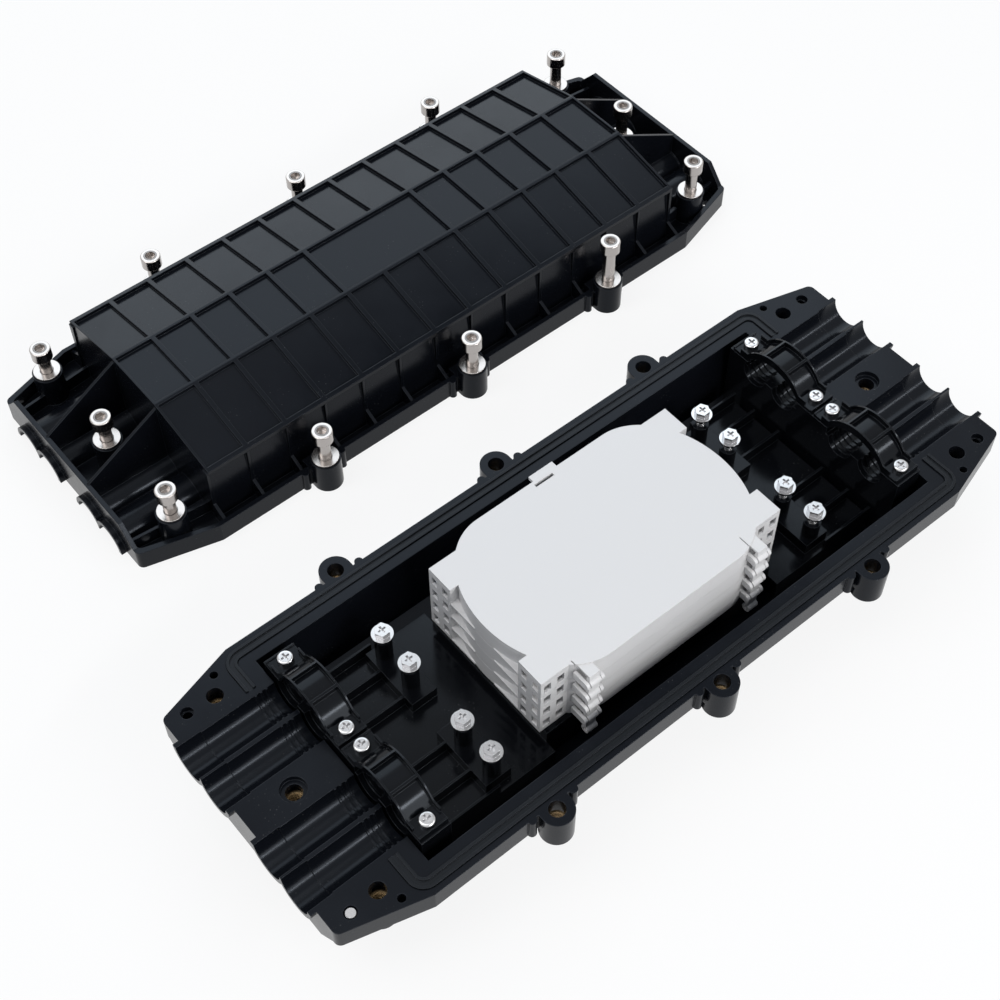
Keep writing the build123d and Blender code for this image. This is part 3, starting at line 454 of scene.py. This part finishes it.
class RingStack:
    """Geometry Nodes tree that stacks thin rings over points, for threads and the painted-shade
    rims of the sockets.
    """

    RING_STEPS: int = 24
    BEAD_STEPS: int = 6

    def __init__(self) -> None:
        """Build the tree once."""
        tree = bpy.data.node_groups.new("Ring stack", "GeometryNodeTree")
        tree.is_modifier = True
        group_socket(tree, "Geometry", "INPUT", "NodeSocketGeometry")
        group_socket(tree, "Radius", "INPUT", "NodeSocketFloat", 0.004)
        group_socket(tree, "Bead", "INPUT", "NodeSocketFloat", 0.0003)
        group_socket(tree, "Pitch", "INPUT", "NodeSocketFloat", 0.00125)
        group_socket(tree, "Turns", "INPUT", "NodeSocketInt", 8)
        group_socket(tree, "Flatness", "INPUT", "NodeSocketFloat", 1.0)
        group_socket(tree, "Material", "INPUT", "NodeSocketMaterial")
        group_socket(tree, "Geometry", "OUTPUT", "NodeSocketGeometry")
        nodes, links = tree.nodes, tree.links
        inlet = nodes.new("NodeGroupInput")
        outlet = nodes.new("NodeGroupOutput")
        ring = nodes.new("GeometryNodeCurvePrimitiveCircle")
        ring.inputs["Resolution"].default_value = self.RING_STEPS
        bead = nodes.new("GeometryNodeCurvePrimitiveCircle")
        bead.inputs["Resolution"].default_value = self.BEAD_STEPS
        sweep = nodes.new("GeometryNodeCurveToMesh")
        press = nodes.new("ShaderNodeCombineXYZ")
        press.inputs["X"].default_value = 1.0
        press.inputs["Y"].default_value = 1.0
        flat = nodes.new("GeometryNodeTransform")
        rise = nodes.new("ShaderNodeCombineXYZ")
        column = nodes.new("GeometryNodeMeshLine")
        stack = nodes.new("GeometryNodeInstanceOnPoints")
        spread = nodes.new("GeometryNodeInstanceOnPoints")
        real = nodes.new("GeometryNodeRealizeInstances")
        paint = nodes.new("GeometryNodeSetMaterial")
        links.new(inlet.outputs["Radius"], ring.inputs["Radius"])
        links.new(inlet.outputs["Bead"], bead.inputs["Radius"])
        links.new(ring.outputs["Curve"], sweep.inputs["Curve"])
        links.new(bead.outputs["Curve"], sweep.inputs["Profile Curve"])
        links.new(inlet.outputs["Pitch"], rise.inputs["Z"])
        links.new(rise.outputs["Vector"], column.inputs["Offset"])
        links.new(inlet.outputs["Turns"], column.inputs["Count"])
        links.new(column.outputs["Mesh"], stack.inputs["Points"])
        links.new(inlet.outputs["Flatness"], press.inputs["Z"])
        links.new(press.outputs["Vector"], flat.inputs["Scale"])
        links.new(sweep.outputs["Mesh"], flat.inputs["Geometry"])
        links.new(flat.outputs["Geometry"], stack.inputs["Instance"])
        links.new(inlet.outputs["Geometry"], spread.inputs["Points"])
        links.new(stack.outputs["Instances"], spread.inputs["Instance"])
        links.new(spread.outputs["Instances"], real.inputs["Geometry"])
        links.new(real.outputs["Geometry"], paint.inputs["Geometry"])
        links.new(inlet.outputs["Material"], paint.inputs["Material"])
        links.new(paint.outputs["Geometry"], outlet.inputs["Geometry"])
        self.tree = tree

    def make(self, name: str, feet: list[Triple], radius: float, bead: float,
             pitch: float, turns: int, material: bpy.types.Material, slot: str,
             flatness: float = 1.0) -> None:
        """Stack rings over each foot and keep them as one plain mesh on the closure's body.

        Args:
            name: name of the new piece.
            feet: where each stack starts.
            radius: radius of a ring's middle line.
            bead: radius of a ring's own section.
            pitch: step from ring to ring.
            turns: how many rings a stack has.
            material: its finish.
            slot: not used.
            flatness: height of a ring's section as a share of its width.
        """
        seed = bpy.data.meshes.new(name + "_feet")
        seed.from_pydata(feet, [], [])
        holder = bpy.data.objects.new(name + "_feet", seed)
        bpy.context.scene.collection.objects.link(holder)
        modifier = holder.modifiers.new("Rings", "NODES")
        modifier.node_group = self.tree
        values = {"Radius": radius, "Bead": bead, "Pitch": pitch, "Turns": turns,
                  "Flatness": flatness, "Material": material}
        for item in self.tree.interface.items_tree:
            if item.in_out == "INPUT" and item.name in values:
                modifier[item.identifier] = values[item.name]
        graph = bpy.context.evaluated_depsgraph_get()
        mesh = bpy.data.meshes.new_from_object(holder.evaluated_get(graph))
        holder.modifiers.remove(modifier)
        bpy.data.objects.remove(holder)
        bpy.data.meshes.remove(seed)
        mesh.name = name
        for face in mesh.polygons:
            face.use_smooth = True
        piece = bpy.data.objects.new(name, mesh)
        bpy.context.scene.collection.objects.link(piece)
        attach(piece, ROOT_BODY)
        log.info("built %s, %d faces", name, len(mesh.polygons))


@dataclass
class ShellHalves:
    """The two black halves with the base's seal strips, inserts and pin."""

    dresser: Dresser
    rings: RingStack
    insert_bore: float = 8.2 * MM
    insert_bead: float = 0.25 * MM
    insert_pitch: float = 1.25 * MM
    insert_turns: int = 8

    def build(self) -> None:
        """Dress the halves and what is pressed into the base."""
        for half in Half:
            self.dresser.dress(half.value, self.dresser.shell)
        for strip in ("seal_far", "seal_near"):
            self.dresser.dress(strip, self.dresser.seal)
        self.dresser.dress("brass_inserts", self.dresser.brass)
        self.dresser.dress("dowel_pin", self.dresser.screw)
        self.thread_inserts()

    def thread_inserts(self) -> None:
        """Put thread ridges in the brass inserts."""
        low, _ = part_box("brass_inserts")
        feet = [(x, y, low[2] + self.insert_pitch) for x, y in islands("brass_inserts")]
        self.rings.make("insert_threads", feet, self.insert_bore / 2, self.insert_bead,
                        self.insert_pitch, self.insert_turns, self.dresser.brass, "insert_brass")


@dataclass
class CoverFasteners:
    """The twelve bolts of the cover and their washers.

    The sink is how far the middle of a thread's ring lies inside the shank.
    """

    dresser: Dresser
    rings: RingStack
    shank_radius: float = 4.0 * MM
    sink: float = 0.18 * MM
    bead: float = 0.30 * MM
    pitch: float = 1.25 * MM
    turns: int = 21
    # The chamfer ring is a flat ring of darker steel on each bolt head, as painted shade around
    # the socket.
    chamfer_radius: float = 3.7 * MM
    chamfer_bead: float = 0.65 * MM
    chamfer_flatness: float = 0.08

    def build(self) -> None:
        """Dress the bolts and washers, thread the bolts and ring their sockets with painted shade.
        """
        self.dresser.dress("cover_washers", self.dresser.bolt)
        feet, tops = [], []
        for node in sorted(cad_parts):
            if node.startswith("cover_bolt_"):
                self.dresser.dress(node, self.dresser.bolt)
                x, y = middle_of(node)
                low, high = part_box(node)
                feet.append((x, y, low[2] + self.pitch))
                tops.append((x, y, high[2]))
        self.rings.make("bolt_threads", feet, self.shank_radius - self.sink, self.bead, self.pitch,
                        self.turns, self.dresser.bolt, "bolt_steel")
        # Painted shade: a flat ring of dull, darker steel on each bolt head around the socket.
        self.rings.make("socket_shade_rings", tops, self.chamfer_radius, self.chamfer_bead, 0.0, 1,
                        self.dresser.socket, "bolt_steel", self.chamfer_flatness)


@dataclass
class CableAnchors:
    """The platform, the posts with their screws, and the cradles and clamps with theirs.

    The sink is how far the middle of a thread's ring lies inside the shank.
    """

    dresser: Dresser
    rings: RingStack
    shank_radius: float = 2.5 * MM
    sink: float = 0.1 * MM
    bead: float = 0.22 * MM
    pitch: float = 0.9 * MM
    turns: int = 9
    head_and_washer: float = 5.4 * MM

    def build(self) -> None:
        """Dress the anchors and thread the post screws whose shanks stand bare."""
        self.dresser.dress("tray_platform", self.dresser.bracket)
        feet = []
        for node in sorted(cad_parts):
            if node.startswith(("post_screw_", "clamp_screws_")):
                self.dresser.dress(node, self.dresser.screw)
            elif node.startswith(("post_", "clamp_", "cradle_")):
                self.dresser.dress(node, self.dresser.bracket)
            if node.startswith("post_screw_right_"):
                x, y = middle_of(node)
                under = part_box(node)[1][2] - self.head_and_washer
                feet.append((x, y, under - self.turns * self.pitch))
        self.rings.make("post_screw_threads", feet, self.shank_radius - self.sink, self.bead,
                        self.pitch, self.turns, self.dresser.screw, "screw_zinc")


@dataclass
class TrayStack:
    """The white trays and their lid."""

    dresser: Dresser

    def build(self) -> None:
        """Dress the trays."""
        for level in Level:
            self.dresser.dress(level.value, self.dresser.tray)


@dataclass(frozen=True)
class SoftBox:
    """One soft lamp: its place, its width and height, its power in watts and its colour."""

    name: str
    spot: Triple
    size: tuple[float, float]
    watts: float
    colour: Triple = (1.0, 1.0, 1.0)


@dataclass
class Studio:
    """Camera, lights, floor and world."""

    camera_at: Triple = (-0.3785, -0.3702, 0.8474)
    target: Triple = (-0.01449, 0.07233, 0.061)
    roll_deg: float = -0.277
    lens_mm: float = 61.84
    sensor_mm: float = 36.0
    clip: tuple[float, float] = (0.05, 30.0)
    floor_size: float = 8.0
    floor_colour: Triple = (0.82, 0.82, 0.82)
    floor_glow: float = 0.85
    world_colour: Triple = (0.46, 0.52, 0.62)
    world_strength: float = 0.40
    lamps: tuple[SoftBox, ...] = (
        SoftBox("Far box", (0.85, 1.55, 1.30), (1.9, 1.9), 20.0, (0.80, 0.91, 1.0)),
        SoftBox("Key", (-1.3, 0.6, 1.7), (1.2, 1.2), 14.0),
        SoftBox("Near fill", (0.1, -1.9, 0.9), (1.4, 1.4), 20.0),
        SoftBox("Top", (-0.5, 0.1, 2.3), (1.2, 1.2), 11.0),
        SoftBox("Strip", (0.60, -1.12, 1.05), (1.4, 0.14), 9.5),
    )
    lamp_aim: Triple = (0.03, 0.13, 0.03)
    flag_at: Triple = (0.515, 0.375, 1.15)
    flag_half: tuple[float, float] = (0.245, 0.085)
    flag_colour: Triple = (0.004, 0.004, 0.004)
    flag_rough: float = 0.9

    def build(self) -> None:
        """Make the whole studio."""
        self.make_camera()
        self.make_lamps()
        self.make_flag()
        self.make_floor()
        self.make_world()
        bpy.context.scene.view_settings.view_transform = "Standard"

    def make_camera(self) -> None:
        """Place the camera at the photograph's viewing angle."""
        data = bpy.data.cameras.new("Camera")
        data.lens = self.lens_mm
        data.sensor_width = self.sensor_mm
        data.clip_start, data.clip_end = self.clip
        camera = bpy.data.objects.new("Camera", data)
        bpy.context.scene.collection.objects.link(camera)
        look = Vector(self.target) - Vector(self.camera_at)
        turn = look.to_track_quat("-Z", "Y").to_matrix().to_4x4()
        roll = Matrix.Rotation(math.radians(self.roll_deg), 4, "Z")
        camera.matrix_world = Matrix.Translation(self.camera_at) @ turn @ roll
        bpy.context.scene.camera = camera

    def make_lamps(self) -> None:
        """Hang the soft boxes, each aimed at the middle of the part."""
        for box in self.lamps:
            data = bpy.data.lights.new(box.name, "AREA")
            data.shape = "RECTANGLE"
            data.size, data.size_y = box.size
            data.energy = box.watts
            data.color = box.colour
            lamp = bpy.data.objects.new(box.name, data)
            bpy.context.scene.collection.objects.link(lamp)
            look = Vector(self.lamp_aim) - Vector(box.spot)
            turn = look.to_track_quat("-Z", "Y").to_matrix().to_4x4()
            lamp.matrix_world = Matrix.Translation(box.spot) @ turn

    def make_plate(self, name: str, corners: list[Triple],
                   material: bpy.types.Material) -> bpy.types.Object:
        """Make one flat rectangle.

        Args:
            name: its name.
            corners: its four corners in turn.
            material: its material.

        Returns:
            The rectangle's object.
        """
        mesh = bpy.data.meshes.new(name)
        mesh.from_pydata(corners, [], [(0, 1, 2, 3)])
        mesh.materials.append(material)
        plate = bpy.data.objects.new(name, mesh)
        bpy.context.scene.collection.objects.link(plate)
        return plate

    def make_flag(self) -> None:
        """Hang the black card that keeps the near slope of the cover dark."""
        material = bpy.data.materials.new("Black card")
        material.use_nodes = True
        shader = material.node_tree.nodes["Principled BSDF"]
        shader.inputs["Base Color"].default_value = (*self.flag_colour, 1.0)
        shader.inputs["Roughness"].default_value = self.flag_rough
        x, y, z = self.flag_at
        wide, deep = self.flag_half
        corners = [(x - wide, y - deep, z), (x - wide, y + deep, z),
                   (x + wide, y + deep, z), (x + wide, y - deep, z)]
        flag = self.make_plate("Flag", corners, material)

    def seen_directly(self, tree: bpy.types.NodeTree) -> bpy.types.NodeSocket:
        """Tell the rays of the camera, of reflections and of glass from those that only light.

        Args:
            tree: the node tree that gets the nodes.

        Returns:
            A value of 1 for a ray that shows the background.
        """
        nodes, links = tree.nodes, tree.links
        path = nodes.new("ShaderNodeLightPath")
        value = path.outputs["Is Camera Ray"]
        for ray in ("Is Glossy Ray", "Is Transmission Ray"):
            either = nodes.new("ShaderNodeMath")
            either.operation = "MAXIMUM"
            links.new(value, either.inputs[0])
            links.new(path.outputs[ray], either.inputs[1])
            value = either.outputs["Value"]
        return value

    def make_floor(self) -> None:
        """Lay the pale floor, which keeps a soft shadow and looks white to the camera."""
        material = bpy.data.materials.new("Pale floor")
        material.use_nodes = True
        nodes, links = material.node_tree.nodes, material.node_tree.links
        nodes.remove(nodes["Principled BSDF"])
        plain = nodes.new("ShaderNodeBsdfDiffuse")
        plain.inputs["Color"].default_value = (*self.floor_colour, 1.0)
        white = nodes.new("ShaderNodeEmission")
        white.inputs["Strength"].default_value = 1.0
        part = nodes.new("ShaderNodeMath")
        part.operation = "MULTIPLY"
        part.inputs[1].default_value = self.floor_glow
        blend = nodes.new("ShaderNodeMixShader")
        links.new(self.seen_directly(material.node_tree), part.inputs[0])
        links.new(part.outputs["Value"], blend.inputs["Fac"])
        links.new(plain.outputs["BSDF"], blend.inputs[1])
        links.new(white.outputs["Emission"], blend.inputs[2])
        links.new(blend.outputs["Shader"], nodes["Material Output"].inputs["Surface"])
        half = self.floor_size / 2
        corners = [(-half, -half, 0), (half, -half, 0), (half, half, 0), (-half, half, 0)]
        floor = self.make_plate("Floor", corners, material)

    def make_world(self) -> None:
        """Fill the world: white where it is seen, a soft blue grey where it only lights."""
        world = bpy.data.worlds.new("Studio")
        bpy.context.scene.world = world
        world.use_nodes = True
        nodes, links = world.node_tree.nodes, world.node_tree.links
        soft = nodes["Background"]
        soft.inputs["Color"].default_value = (*self.world_colour, 1.0)
        soft.inputs["Strength"].default_value = self.world_strength
        white = nodes.new("ShaderNodeBackground")
        white.inputs["Color"].default_value = (1.0, 1.0, 1.0, 1.0)
        blend = nodes.new("ShaderNodeMixShader")
        links.new(self.seen_directly(world.node_tree), blend.inputs["Fac"])
        links.new(soft.outputs["Background"], blend.inputs[1])
        links.new(white.outputs["Background"], blend.inputs[2])
        links.new(blend.outputs["Shader"], nodes["World Output"].inputs["Surface"])


def main() -> None:
    """Dress the closure, piece by piece, and set up the studio."""
    logging.basicConfig(level=logging.INFO, format="%(name)s: %(message)s")
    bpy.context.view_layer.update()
    dresser = Dresser(Palette())
    rings = RingStack()
    ShellHalves(dresser, rings).build()
    CoverFasteners(dresser, rings).build()
    CableAnchors(dresser, rings).build()
    TrayStack(dresser).build()
    Studio().build()


if __name__ == "__main__":
    main()
